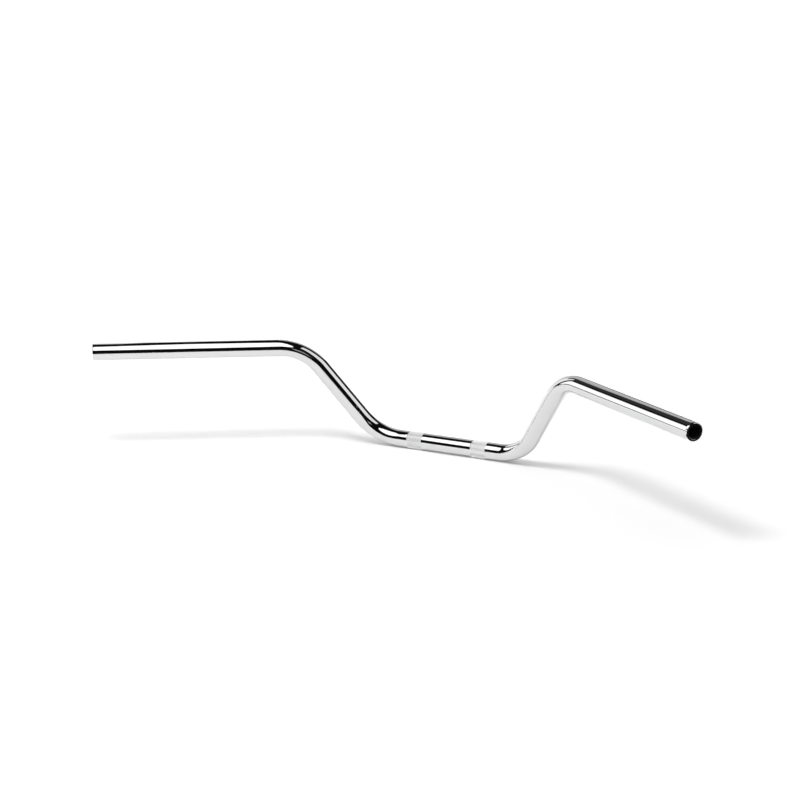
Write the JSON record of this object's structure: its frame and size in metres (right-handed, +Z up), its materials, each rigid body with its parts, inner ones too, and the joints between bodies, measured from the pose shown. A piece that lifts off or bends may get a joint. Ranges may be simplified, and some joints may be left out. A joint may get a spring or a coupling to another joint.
{
  "type": "motorcycle handlebar",
  "caption": "One-piece chromed steel motorcycle handlebar: a bent round tube with a knurled clamp section, leaning risers and level swept-back grips, open at the ends.",
  "frame": {"origin": "on the tube's axis, in the middle of the straight clamp section", "axes": "+X to the rider's right along the clamp section, +Y forwards, +Z up, with the grips level"},
  "size_m": [0.839, 0.2236, 0.1434],
  "materials": {
    "chrome": "polished"
  },
  "bodies": {
    "root": {"handlebar": "chrome"}
  },
  "joints": []
}
